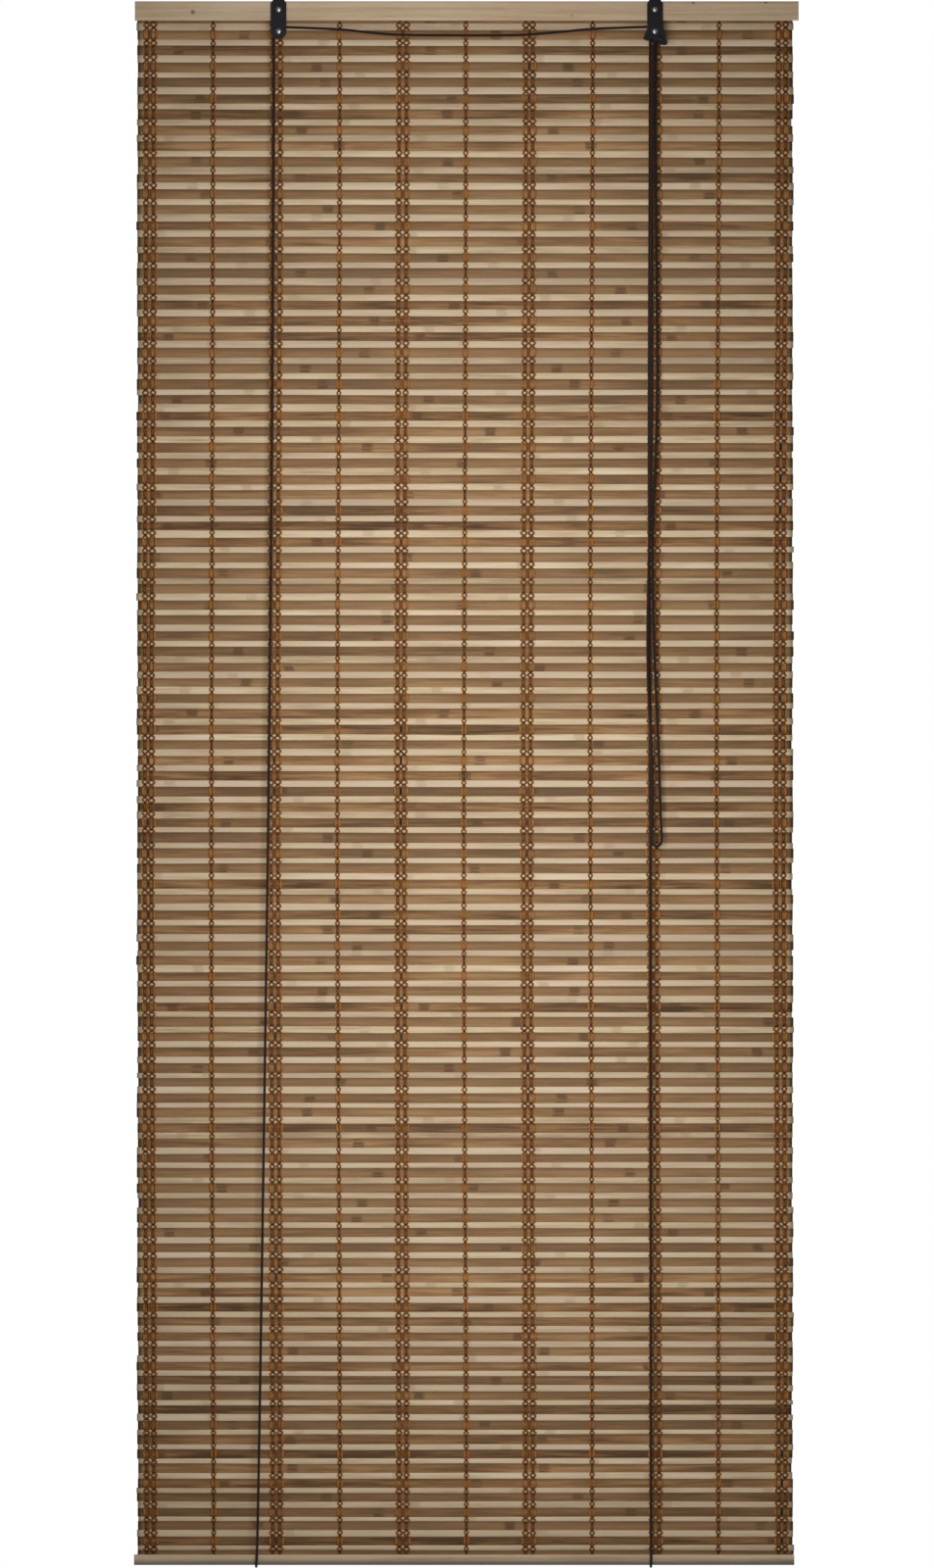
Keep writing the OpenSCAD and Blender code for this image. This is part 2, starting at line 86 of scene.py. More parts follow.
# The cord's route, from the left knot behind the head batten to the right one
CORD_ROUTE = np.array([
    # Down the back of the mat and round the bottom batten
    [-234, 18.2, -13], [-234, 18.2, -40], [-236, 18.2, -650], [-239, 18.2, -1300], [-242.4, 18.2, -1798],
    [-242.5, 17.8, -1803.3], [-242.5, 16, -1807.3], [-242.5, 12.5, -1810.2], [-242.5, 8.5, -1811],
    [-242.4, 5.8, -1811], [-242.3, 3.3, -1810.25], [-242.1, 1.15, -1807.95], [-242, 0.3, -1804.8],
    # Up the front of the mat to the left sheave
    [-241.5, 0.4, -1797], [-232.5, 1.4, -1250], [-225.5, 1.8, -684], [-222, 2.2, -120],
    [-221.7, 2.2, -43.5], [-221, 2.2, -40.9], [-219.1, 2.2, -39], [-216.5, 2.2, -38.3],
    # Across to the lock bracket and over its front sheave
    [-205, 2.2, -38.9], [-175, 2.2, -40.1], [-145, 2.2, -41.5], [-115, 2.2, -44.6], [-86, 2.2, -47.2],
    [-40, 2.2, -48.1], [20, 2.2, -48.3], [62, 2.2, -47.8], [100, 2.2, -45], [143, 2.2, -41],
    [175, 2.2, -39.6], [205, 2.2, -38.6], [216.5, 2.2, -38.3], [219.1, 2.2, -39], [221, 2.2, -40.9],
    [221.7, 2.2, -43.5], [221.2, 2.2, -45.7], [218.6, 2.2, -50], [217, 2.2, -53], [215.6, 2.2, -56.5],
    # Down and up the pull loop
    [214.7, 2.2, -61], [214.3, 2.2, -70], [213.6, 2.2, -150], [212.4, 2.2, -320], [212, 2.2, -480],
    [211, 2.1, -580], [209.2, 1.9, -670], [208, 1.8, -740], [209.1, 1.6, -805], [211.5, 1.5, -850],
    [213.6, 1.4, -905], [213.4, 1.3, -945], [213.3, 1.2, -976], [214.9, 1.8, -979.8],
    [218.7, 2.8, -981.4], [222.5, 3.8, -979.8], [224.1, 4.4, -976], [223.3, 4.6, -950], [222, 4.8, -905],
    [219.3, 5, -838], [216.4, 5.2, -770], [214.3, 5.4, -700], [213.7, 5.5, -640], [214.9, 5.7, -585],
    [217.8, 5.9, -520], [219.1, 6, -450], [218.6, 6.1, -340], [217.4, 6.3, -240], [217, 6.4, -150],
    [217.3, 6.4, -90], [217.5, 6.4, -57],
    # Over the lock bracket's rear sheave
    [217.7, 6.4, -53], [218.6, 6.4, -50], [221.2, 6.4, -45.7], [221.7, 6.4, -43.5], [221, 6.4, -40.9],
    [219.1, 6.4, -39], [216.5, 6.4, -38.3], [213.9, 6.4, -39], [212, 6.4, -40.9], [211.3, 6.4, -43.5],
    # Down the front of the mat, round the bottom batten and up the back to the right knot
    [211.1, 6.4, -60], [210.6, 6.2, -200], [209.7, 5.8, -480], [209.8, 5.5, -620], [210.6, 5.2, -740],
    [211.1, 4.6, -900], [211.5, 2.6, -1250], [212, 0.4, -1797], [212, 0.3, -1804.8],
    [212, 1.15, -1807.95], [212, 3.3, -1810.25], [212, 5.8, -1811], [212, 8.5, -1811],
    [212, 12.5, -1810.2], [212, 16, -1807.3], [212, 17.8, -1803.3], [212, 18.2, -1798],
    [218, 18.2, -1300], [226, 18.2, -650], [234, 18.2, -40], [234, 18.2, -13],
], float)


def srgb(red, green, blue):
    """A colour as the eye reads it on a screen, 0 to 255, as the linear RGBA that a shader takes."""
    c = np.array([red, green, blue]) / 255
    linear = np.where(c <= 0.04045, c / 12.92, ((c + 0.055) / 1.055) ** 2.4)
    return (*map(float, linear), 1.0)


def ease(x, low, high):
    """0 below low, 1 above high and a smooth S between them: t squared times (3 - 2 t)."""
    t = np.clip((x - low) / (high - low), 0, 1)
    return t * t * (3 - 2 * t)


# Materials

def new_finish(name, **sockets):
    """A material and its shader, with the sockets that are the same all over set directly."""
    material = bpy.data.materials.new(name)
    material.use_nodes = True
    shader = material.node_tree.nodes["Principled BSDF"]
    for socket, value in sockets.items():
        shader.inputs[socket.replace("_", " ")].default_value = value
    return material, shader


def node(material, kind, inputs, output=0, **settings):
    """Adds a shader node with its settings, links or sets its inputs and returns one of its outputs."""
    made = material.node_tree.nodes.new("ShaderNode" + kind)
    for key, value in settings.items():
        setattr(made, key, value)
    for key, value in inputs.items():
        if isinstance(value, bpy.types.NodeSocket):
            material.node_tree.links.new(value, made.inputs[key])
        else:
            made.inputs[key].default_value = value
    return made.outputs[output]


def link(material, output, socket):
    """Leads a node's output to a socket."""
    material.node_tree.links.new(output, socket)


def calc(material, operation, *values):
    """One step of arithmetic on values or outputs."""
    return node(material, "Math", dict(enumerate(values)), operation=operation)


def noise(material, place, stretch, detail=3.0, rough=0.55):
    """Smooth noise from 0 to 1 over a place whose three axes are stretched by cycles per metre."""
    spot = node(material, "Mapping", {0: place, 3: stretch})
    return node(material, "TexNoise", {"Vector": spot, "Scale": 1.0, "Detail": detail, "Roughness": rough})


def span(material, value, low, high, to_low=0.0, to_high=1.0):
    """A smooth step of the value from low to high."""
    inputs = {0: value, 1: low, 2: high, 3: to_low, 4: to_high}
    return node(material, "MapRange", inputs, interpolation_type="SMOOTHSTEP")


def shades(material, value, *stops):
    """A ramp of colours over a value, given as (place, colour) pairs."""
    made = material.node_tree.nodes.new("ShaderNodeValToRGB")
    ramp = made.color_ramp
    while len(ramp.elements) < len(stops):
        ramp.elements.new(0.5)
    for element, (place, colour) in zip(ramp.elements, stops):
        element.position = place
        element.color = colour
    link(material, value, made.inputs[0])
    return made.outputs[0]


def blend(material, share, below, above, kind="MIX"):
    """A colour laid over another by a share of 0 to 1."""
    return node(material, "Mix", {0: share, 6: below, 7: above}, output=2, data_type="RGBA", blend_type=kind)


def relief(material, shader, height, depth, strength=1.0):
    """Bump from a height of 0 to 1 that stands for a depth in metres."""
    bump = node(material, "Bump", {"Height": height, "Distance": depth, "Strength": strength})
    link(material, bump, shader.inputs["Normal"])


# How far apart the joints of a cane are along a slat, in metres
JOINT_STEP = 0.29


def bamboo_finish(name, stops, cast, stain_share, streak_share, fibre_share, joint, edge, end, gloss):
    """Stained bamboo on a slat's own length and height.

    The shade is the slat's own tone plus a slow stain, streaks and fine fibres along it. Its hue leans to
    the cast and wanders from rosy to olive. The joints of the cane are soft blots every 290 mm, the upper
    edge is greyer with a painted shadow that stands in for the shadow of the slat above, and the cut ends
    are dark: each of these three is given as a share and a colour.
    """
    material, shader = new_finish(name, Specular_IOR_Level=gloss)
    grain = node(material, "Attribute", {}, output="Vector", attribute_name="grain")
    slat = node(material, "Attribute", {}, output="Vector", attribute_name="slat")
    along, across = (node(material, "SeparateXYZ", {0: grain}, output=i) for i in (0, 1))
    tone, from_end, hue = (node(material, "SeparateXYZ", {0: slat}, output=i) for i in (0, 1, 2))
    stain = noise(material, grain, (9.0, 60.0, 40.0), detail=2.0)
    streak = noise(material, grain, (16.0, 330.0, 200.0), detail=4.0, rough=0.6)
    fibre = noise(material, grain, (12.0, 1100.0, 700.0), detail=4.0, rough=0.65)
    shade = tone
    for part, share in ((stain, stain_share), (streak, streak_share), (fibre, fibre_share)):
        shade = calc(material, "MULTIPLY_ADD", part, share, shade)
    shade = calc(material, "SUBTRACT", shade, (stain_share + streak_share + fibre_share) / 2)
    colour = shades(material, shade, *stops)
    colour = blend(material, hue, colour, cast)
    further = node(material, "VectorMath", {0: grain, 1: (7, 0, 0)})
    tint = noise(material, further, (21.0, 120.0, 90.0), detail=2.0)
    rosy = blend(material, 1.0, colour, (1.0, 0.965, 0.965, 1), "MULTIPLY")
    olive = blend(material, 1.0, colour, (0.98, 0.995, 0.94, 1), "MULTIPLY")
    colour = blend(material, span(material, tint, 0.38, 0.62), rosy, olive)
    band = calc(material, "PINGPONG", along, JOINT_STEP / 2)
    ragged = noise(material, grain, (500.0, 120.0, 300.0), detail=2.0)
    band = calc(material, "MULTIPLY_ADD", ragged, 0.008, band)
    band = span(material, band, 0.0125, 0.0075)
    band = calc(material, "MULTIPLY", band, span(material, streak, 0.34, 0.58, 0.0, joint[0]))
    colour = blend(material, band, colour, joint[1])
    # Painted shadow: each slat's upper edge is greyer, standing in for the shadow of the slat above
    upper = span(material, across, 0.0005, 0.0048, 0.0, edge[0])
    colour = blend(material, upper, colour, edge[1])
    cut = span(material, from_end, 0.005, 0.001, 0.0, end[0])
    colour = blend(material, cut, colour, end[1])
    link(material, colour, shader.inputs["Base Color"])
    link(material, span(material, fibre, 0.3, 0.7, 0.62, 0.48), shader.inputs["Roughness"])
    height = calc(material, "SUBTRACT", fibre, calc(material, "MULTIPLY", band, 0.5))
    relief(material, shader, height, 0.0003)
    return material


# Knots in the head batten's front: place and radius in metres
WOOD_KNOTS = [
    ((-0.3152, 0.0012, -0.0214), 0.0042),
    ((0.2606, 0.0012, -0.0105), 0.0028),
    ((0.344, 0.0012, -0.0105), 0.0026),
    ((0.121, 0.0012, -0.0255), 0.0022),
]


def planed_wood_finish(name, tint, painted_foot_span=None):
    """Pale planed softwood: long streaks of grain, pores and a few dark knots.

    The tint multiplies all its colours. Where a batten is given painted shade along its lower edge, it
    darkens from the first height to the second, standing in for the shade under its rounded edge.
    """
    material, shader = new_finish(name, Specular_IOR_Level=0.3)
    place = node(material, "TexCoord", {}, output="Object")
    grain = noise(material, place, (3.0, 110.0, 140.0), detail=4.0, rough=0.6)
    pores = noise(material, place, (60.0, 1500.0, 1500.0), detail=2.0)
    slow = noise(material, place, (9.0, 9.0, 9.0), detail=1.0)
    shade = calc(material, "MULTIPLY_ADD", pores, 0.35, grain)
    shade = calc(material, "MULTIPLY_ADD", slow, 0.3, shade)
    colour = shades(material, shade, (0.42, srgb(140, 112, 84)), (0.72, srgb(186, 158, 126)),
                    (1.05, srgb(206, 184, 152)))
    for spot, reach in WOOD_KNOTS:
        away = node(material, "VectorMath", {0: place, 1: spot}, output=1, operation="DISTANCE")
        away = calc(material, "MULTIPLY_ADD", grain, 0.002, away)
        knot = span(material, away, reach + 0.001, reach * 0.4, 0.0, 0.75)
        colour = blend(material, knot, colour, srgb(88, 62, 42))
    colour = blend(material, 1.0, colour, tint, "MULTIPLY")
    # Painted shade: the lower edge darkens, standing in for the shade under the batten's rounded foot
    if painted_foot_span:
        height = node(material, "SeparateXYZ", {0: place}, output=2)
        height = calc(material, "MULTIPLY_ADD", slow, 0.002, height)
        foot_shade = span(material, height, *painted_foot_span, 0.0, 0.95)
        colour = blend(material, foot_shade, colour, srgb(92, 84, 76))
    link(material, colour, shader.inputs["Base Color"])
    link(material, span(material, grain, 0.3, 0.7, 0.66, 0.5), shader.inputs["Roughness"])
    relief(material, shader, shade, 0.0004)
    return material


def plied_finish(name, dark, light, plies, lay, rough, sheen, shade_colour=None):
    """Twisted or braided thread on a tube's UV: u is metres along it, v turns round it.

    Each ply is a ridge of sin(2 pi (plies v + u / lay)), crossed with its mirror in a braid of over 4 plies.
    Where threads lie close or cross, by a point mark, the colour sinks to a darker one: painted shade that
    stands in for the shade between the threads.
    """
    material, shader = new_finish(name, Roughness=rough, Sheen_Weight=sheen, Sheen_Roughness=0.5,
                                  Specular_IOR_Level=0.14)
    uv = node(material, "TexCoord", {}, output="UV")
    along, turn = (node(material, "SeparateXYZ", {0: uv}, output=i) for i in (0, 1))
    run = calc(material, "MULTIPLY", along, 2 * np.pi / lay)
    round_it = calc(material, "MULTIPLY", turn, 2 * np.pi * plies)
    ridge = calc(material, "SINE", calc(material, "ADD", run, round_it))
    if plies > 4:
        mirror = calc(material, "SINE", calc(material, "SUBTRACT", run, round_it))
        ridge = calc(material, "MULTIPLY", ridge, mirror)
    height = calc(material, "MULTIPLY_ADD", ridge, 0.5, 0.5)
    fuzz = noise(material, uv, (900.0, 6.0, 1.0), detail=3.0)
    wear = noise(material, uv, (14.0, 1.0, 1.0), detail=1.0)
    shade = calc(material, "MULTIPLY_ADD", height, 0.45, calc(material, "MULTIPLY", fuzz, 0.35))
    shade = calc(material, "MULTIPLY_ADD", wear, 0.3, shade)
    colour = shades(material, shade, (0.2, dark), (0.85, light))
    # Painted shade where threads lie close or cross
    if shade_colour:
        near = node(material, "Attribute", {}, output="Fac", attribute_name="knit")
        colour = blend(material, near, colour, shade_colour)
    link(material, colour, shader.inputs["Base Color"])
    relief(material, shader, calc(material, "MULTIPLY_ADD", fuzz, 0.3, height), 0.00025)
    return material


def black_metal_finish():
    """Satin black paint on pressed steel: a slightly uneven gloss, and worn along the edges."""
    material, shader = new_finish("satin_black", Specular_IOR_Level=0.16)
    place = node(material, "TexCoord", {}, output="Object")
    mottle = noise(material, place, (700.0, 700.0, 700.0), detail=3.0)
    rounded = node(material, "Bevel", {"Radius": 0.00045}, samples=6)
    flat = node(material, "NewGeometry", {}, output="Normal")
    square = node(material, "VectorMath", {0: rounded, 1: flat}, output=1, operation="DOT_PRODUCT")
    edge = span(material, square, 0.99, 0.8, 0.0, 1.0)
    worn = calc(material, "MULTIPLY", edge, span(material, mottle, 0.42, 0.66))
    colour = blend(material, worn, srgb(17, 18, 21), srgb(58, 58, 58))
    link(material, colour, shader.inputs["Base Color"])
    link(material, span(material, mottle, 0.3, 0.7, 0.34, 0.5), shader.inputs["Roughness"])
    relief(material, shader, mottle, 0.00006)
    return material


def steel_finish(name, dull, bright):
    """Steel: a mirror dulled by fine scratches, from a dull to a bright tint by its wear."""
    material, shader = new_finish(name, Metallic=1.0)
    place = node(material, "TexCoord", {}, output="Object")
    wear = noise(material, place, (500.0, 500.0, 500.0), detail=3.0)
    scratch = noise(material, place, (300.0, 300.0, 6000.0), detail=2.0)
    colour = shades(material, wear, (0.3, dull), (0.7, bright))
    link(material, colour, shader.inputs["Base Color"])
    link(material, span(material, scratch, 0.3, 0.7, 0.18, 0.34), shader.inputs["Roughness"])
    relief(material, shader, scratch, 0.00003)
    return material


# Each finish's edge is the painted shadow along its slats' upper edges
pale_bamboo = bamboo_finish(
    "pale_bamboo",
    [(0.0, srgb(156, 130, 100)), (0.4, srgb(189, 165, 131)), (0.7, srgb(204, 182, 150)),
     (1.0, srgb(215, 197, 169))],
    cast=srgb(198, 178, 154), stain_share=1.3, streak_share=1.3, fibre_share=0.8,
    joint=(0.4, srgb(150, 120, 86)), edge=(0.12, srgb(170, 146, 118)), end=(0.3, srgb(120, 104, 88)),
    gloss=0.25)
dark_bamboo = bamboo_finish(
    "dark_bamboo",
    [(0.0, srgb(74, 51, 30)), (0.3, srgb(114, 82, 50)), (0.6, srgb(141, 104, 67)), (1.0, srgb(170, 132, 91))],
    cast=srgb(132, 103, 72), stain_share=1.7, streak_share=1.5, fibre_share=0.9,
    joint=(0.75, srgb(84, 58, 34)), edge=(0.5, srgb(92, 69, 45)), end=(0.75, srgb(44, 36, 30)),
    gloss=0.16)
planed_wood = planed_wood_finish("planed_wood", (0.97, 0.97, 0.98, 1))
# The bottom batten's wood, with painted shade along its lower edge
shaded_foot_wood = planed_wood_finish("shaded_foot_wood", (0.97, 1.01, 1.04, 1), painted_foot_span=(-1.798, -1.8075))
# The yarn's darkest colour is painted shade where threads lie close or cross
warp_yarn = plied_finish("warp_yarn", srgb(110, 56, 8), srgb(190, 120, 44), plies=3, lay=0.0045,
                         rough=0.5, sheen=0.02, shade_colour=srgb(26, 4, 0))
cord_braid = plied_finish("cord_braid", srgb(20, 11, 8), srgb(49, 29, 20), plies=8, lay=0.0034,
                          rough=0.7, sheen=0.1)
satin_black = black_metal_finish()
bright_steel = steel_finish("bright_steel", srgb(150, 150, 152), srgb(205, 205, 204))
black_steel = steel_finish("black_steel", srgb(34, 34, 36), srgb(62, 62, 64))


# Meshes

def skin(rings):
    """Faces over tubes given as rings of points, in the order tube, ring and corner.

    A quad joins each edge of a ring to the next ring, and a strip of quads closes each end of a tube.
    Rings turn anticlockwise about their path, so that the faces point outwards.
    """
    tubes, count, sides, _ = rings.shape
    corner = np.arange(tubes * count * sides).reshape(tubes, count, sides)
    beside = np.roll(corner, -1, axis=2)
    walls = np.stack([corner[:, :-1], beside[:, :-1], beside[:, 1:], corner[:, 1:]], -1)
    k = np.arange(sides // 2 - 1)
    strip = np.stack([k, k + 1, sides - 2 - k, sides - 1 - k], -1)
    first = corner[:, 0][:, strip[:, ::-1]]
    last = corner[:, -1][:, strip]
    return np.concatenate([part.reshape(-1, 4) for part in (walls, first, last)])


def skin_uv(along, sides):
    """UVs of skin()'s corners: u is the place along the path in metres, v goes once from 0 to 1 round it."""
    turn = np.arange(sides + 1) / sides
    u = np.stack([along[:, :-1], along[:, :-1], along[:, 1:], along[:, 1:]], -1)
    v = np.stack([turn[:-1], turn[1:], turn[1:], turn[:-1]], -1)
    walls = np.stack(np.broadcast_arrays(u[:, :, None], v[None, None]), -1).reshape(-1, 2)
    ends = np.zeros((len(along) * 2 * (sides // 2 - 1) * 4, 2))
    return np.concatenate([walls, ends])


def make_piece(name, points, faces, finish, slot, stands_for, uv=None, **marks):
    """A smooth mesh piece on the blind, from points in millimetres, with a UV map and vector attributes."""
    mesh = bpy.data.meshes.new(name)
    mesh.vertices.add(len(points))
    mesh.vertices.foreach_set("co", (points * MM).astype(np.float32).ravel())
    mesh.loops.add(faces.size)
    mesh.loops.foreach_set("vertex_index", faces.astype(np.int32).ravel())
    mesh.polygons.add(len(faces))
    mesh.polygons.foreach_set("loop_start", np.arange(0, faces.size, 4, dtype=np.int32))
    mesh.polygons.foreach_set("use_smooth", np.ones(len(faces), bool))
    if uv is not None:
        mesh.uv_layers.new(name="UVMap").data.foreach_set("uv", uv.astype(np.float32).ravel())
    for mark, values in marks.items():
        attribute = mesh.attributes.new(mark, "FLOAT_VECTOR", "POINT")
        attribute.data.foreach_set("vector", values.astype(np.float32).ravel())
    mesh.update(calc_edges=True)
    mesh.validate()
    mesh.materials.append(finish)
    piece = bpy.data.objects.new(name, mesh)
    scene.collection.objects.link(piece)
    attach(piece, "blind")
    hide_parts(*stands_for)
    return piece


def unit(v):
    """Vectors of length 1 along the given ones."""
    return v / np.linalg.norm(v, axis=-1, keepdims=True)


# The lift cord and its knots

def between(t, low, high, start, stop):
    """The point on the way from start to stop, as t goes from low to high."""
    return (start * (high - t) + stop * (t - low)) / (high - low)


def smooth_run(route):
    """Points on a centripetal Catmull-Rom curve through a route.

    A stretch has about 3.6 times the root of its length in steps, so that the short bends are fine.
    """
    p = np.vstack([2 * route[0] - route[1], route, 2 * route[-1] - route[-2]])
    knot = np.concatenate([[0], np.cumsum(np.sqrt(np.linalg.norm(np.diff(p, axis=0), axis=1)))])
    runs = []
    for i in range(1, len(p) - 2):
        k0, k1, k2, k3 = knot[i - 1:i + 3]
        length = (k2 - k1) ** 2
        steps = int(np.ceil(3.6 * np.sqrt(length)))
        t = np.linspace(k1, k2, steps, endpoint=False)[:, None]
        a1 = between(t, k0, k1, p[i - 1], p[i])
        a2 = between(t, k1, k2, p[i], p[i + 1])
        a3 = between(t, k2, k3, p[i + 1], p[i + 2])
        b1 = between(t, k0, k2, a1, a2)
        b2 = between(t, k1, k3, a2, a3)
        runs.append(between(t, k1, k2, b1, b2))
    return np.vstack([*runs, route[-1:]])


def round_tube(path, radius, sides):
    """One tube of rings about a path: its sideways direction is carried from ring to ring without a twist."""
    heading = unit(np.gradient(path, axis=0))
    across = np.empty_like(path)
    last = np.array([1.0, 0.1, 0.0])
    for i, ahead in enumerate(heading):
        last = unit(last - ahead * (last @ ahead))
        across[i] = last
    up = np.cross(heading, across)
    turn = 2 * np.pi * np.arange(sides) / sides
    radius = np.broadcast_to(radius, len(path))[:, None, None]
    ring = np.cos(turn)[:, None] * across[:, None] + np.sin(turn)[:, None] * up[:, None]
    return (path[:, None] + radius * ring)[None]


def lengths(path):
    """How far along its path each point is, in metres, as one row."""
    step = np.linalg.norm(np.diff(path, axis=0), axis=1)
    return np.concatenate([[0], np.cumsum(step)])[None] * MM


def build_knot(side, middle):
    """A barrel knot: the cord's end winds two and a half turns round itself and comes out as a short tail.

    The path's radius swells from the axis to the barrel as its height grows, and at last to the tail's tip.
    """
    barrel = 1.62
    tail = 4.2
    turns = 2.5
    t = np.linspace(0, 1, 90)
    swell = barrel * ease(t, 0.0, 0.12) + tail * ease(t, 0.86, 1.0)
    angle = 2 * np.pi * turns * np.minimum(t / 0.9, 1)
    height = np.interp(t, [0, 0.1, 0.86, 1], [-3.0, -1.6, 1.4, 0.6])
    path = np.stack([swell * np.cos(angle), swell * np.sin(angle), height], -1) + middle
    radius = 1.18 - 0.08 * ease(t, 0.1, 0.2) + 0.14 * ease(t, 0.97, 1.0)
    rings = round_tube(path, radius, KNOT_SIDES)
    return make_piece(f"{side}_cord_knot", rings.reshape(-1, 3), skin(rings), cord_braid, "cord_braid",
                      [f"{side}_knot"], uv=skin_uv(lengths(path), KNOT_SIDES))


def build_cord():
    """The cord as a round tube along its route, with a knot just above each of its ends."""
    path = smooth_run(CORD_ROUTE)
    rings = round_tube(path, CORD_THICK / 2, CORD_SIDES)
    cord = make_piece("lift_cord_braid", rings.reshape(-1, 3), skin(rings), cord_braid, "cord_braid",
                      ["lift_cord"], uv=skin_uv(lengths(path), CORD_SIDES))
    ends = (("left", CORD_ROUTE[0]), ("right", CORD_ROUTE[-1]))
    knots = [build_knot(side, place + [0, 0, KNOT_RISE]) for side, place in ends]


# The slats

def hang(down):
    """How far below the mat's upper edge a line hangs that an even mat would have so far down.

    The yarn is stretched by the weight below it, so the slats lie further apart at the top than at the foot:
    t plus t (1 - t) (0.0383 + 0.0283 t) of the mat's height, for t of the height of an even mat.
    """
    high = MAT_TOP - MAT_LOW
    t = down / high
    return high * (t + t * (1 - t) * (0.0383 + 0.0283 * t))


def slat_edges(stations):
    """Heights of the edges between slats at stations from -1 to 1 along them.

    Each edge lies where the mat hangs, moved by a shift, a tilt and a slow wave of its own. Every second
    pale slat is a little taller, and all of them are narrower towards the foot. The mat's upper and lower
    edges stay straight.
    """
    rank = np.arange(2 * PAIRS + 1)
    level = MAT_TOP - hang(PITCH * (rank // 2) + PALE_HEIGHT * (rank % 2))
    shift, tilt, wave = chance.normal(0, 1, (3, len(rank), 1)).clip(-1.8, 1.8)
    phase, pace = chance.uniform(0, 1, (2, len(rank), 1))
    narrower = np.array([0.45, 0.0])[rank // 2 % 2] + 0.3 * rank / rank[-1]
    wander = 0.34 * shift + 0.3 * tilt * stations
    wander = wander + 0.24 * wave * np.sin(ANY_TURN * phase + (2 + 5 * pace) * stations)
    wander -= (narrower * (-1) ** rank)[:, None]
    wander[[0, -1]] = 0
    return level[:, None] + wander


def slat_section(half_thick, round_edge):
    """Once round a slat: a rectangle one unit to either side in height, with quarter-round edges."""
    half_high = 4.4
    inner = [half_thick - round_edge, half_high - round_edge]
    corner = np.array([[1, 1], [-1, 1], [-1, -1], [1, -1]]) * inner
    turn = np.radians(90 * np.arange(4)[:, None] + np.linspace(0, 90, 3))
    points = corner[:, None] + round_edge * np.stack([np.cos(turn), np.sin(turn)], -1)
    return points.reshape(-1, 2) / [1, half_high]


def build_slats(name, first, thick, round_edge, finish, edges, stations):
    """Every second slat from the first one: its section carried along X between its two edges.

    The ends are cut a little unevenly, and each slat bows a little to the front or the back. Neighbours
    overlap a little, so that no light comes through.
    """
    overlap = 0.06
    upper = edges[first:-1:2]
    lower = edges[first + 1::2]
    count = len(upper)
    middle = (upper + lower) / 2
    half = (upper - lower) / 2 + overlap
    left, right = np.array([[SLAT_LEFT], [SLAT_RIGHT]]) + chance.normal(0, 0.55, (2, count))
    x = (left + right)[:, None] / 2 + (right - left)[:, None] / 2 * stations
    bow = chance.normal(0, 0.07, (count, 1)) * (1 - stations**2) * 2
    section = slat_section(thick / 2, round_edge)
    rings = np.stack(np.broadcast_arrays(
        x[..., None],
        MAT_MIDDLE + bow[..., None] + section[:, 0],
        middle[..., None] + half[..., None] * section[:, 1],
    ), -1)
    own_start = chance.uniform(0, 60, count)[:, None, None]
    stained = chance.uniform(0, 1, count) < 0.04
    usual_tone = 0.2 + 0.6 * chance.beta(1.8, 1.8, count)
    own_tone = np.where(stained, 0.12, usual_tone)[:, None, None]
    own_hue = chance.uniform(0, 0.7, count)[:, None, None]
    from_end = np.minimum(x - left[:, None], right[:, None] - x)[..., None]
    grain = np.stack(np.broadcast_arrays(
        rings[..., 0] * MM + own_start,
        (rings[..., 2] - middle[..., None]) * MM,
        rings[..., 1] * MM,
    ), -1)
    marks = (own_tone, from_end * MM, own_hue)
    slat = np.stack([np.broadcast_to(mark, rings.shape[:-1]) for mark in marks], -1)
    make_piece(name, rings.reshape(-1, 3), skin(rings), finish, "slat_bamboo", ["slat_mat"],
               grain=grain.reshape(-1, 3), slat=slat.reshape(-1, 3))


def build_mat():
    """The pale and the dark slats, which share their edges."""
    stations = np.linspace(-1, 1, 25)
    # Two close stations at each end keep the dark of the cut ends narrow
    stations = np.concatenate([[-1, -0.98], stations[1:-1], [0.98, 1]])
    edges = slat_edges(stations)
    build_slats("pale_slats", 0, PALE_THICK, 0.9, pale_bamboo, edges, stations)
    build_slats("dark_slats", 1, DARK_THICK, 0.4, dark_bamboo, edges, stations)


# The warp yarn

# One repeat of a chain covers two pairs of slats. Down from the upper edge of an odd pair, its two yarns
# stand apart over the pale slat, cross, stand apart over the dark slat, cross, stand apart over the next
# pale slat and lie side by side over the next dark one
REPEAT = 2 * PITCH
SWING_DOWN = np.array([2.6, 5.9, 8.6, 12.9, 17.1, 19.8, 23.0, 25.8, 27.6, 30.6, 33.2, 35.0])
SWING_OUT = np.array([1.25, 0.0, -0.97, -1.0, -0.97, 0.0, 1.25, 0.0, -0.3, -0.3, -0.3, 0.0])

# The crossings where a chain's first yarn is on top, and those where its second one is
FIRST_OVER = np.array([19.8, 35.0])
SECOND_OVER = np.array([5.9, 25.8])

# Is it the front, the step along its yarns and the corners round them: the front is seen from nearer
FRONT_YARN = (True, 1.35, 6)
BACK_YARN = (False, 2.2, 4)


def chain_swing(down):
    """Sideways swing of a chain's first yarn, in shares of its reach, smoothed over about 1 mm."""
    fine = np.arange(0, REPEAT, 0.1)
    swing = np.interp(fine, SWING_DOWN, SWING_OUT, period=REPEAT)
    kernel = np.exp(-(np.arange(-30, 31) / 10.0) ** 2)
    smooth = np.convolve(np.tile(swing, 3), kernel / kernel.sum(), "same")[len(fine):2 * len(fine)]
    return np.interp(down, fine, smooth, period=REPEAT)


def chain_over(down, crossings):
    """How far a yarn rises over the other: a bell 1.7 mm wide at each crossing where it is on top."""
    away = (down[..., None] - crossings + REPEAT / 2) % REPEAT - REPEAT / 2
    return np.exp(-(away / 1.7) ** 2).sum(-1)


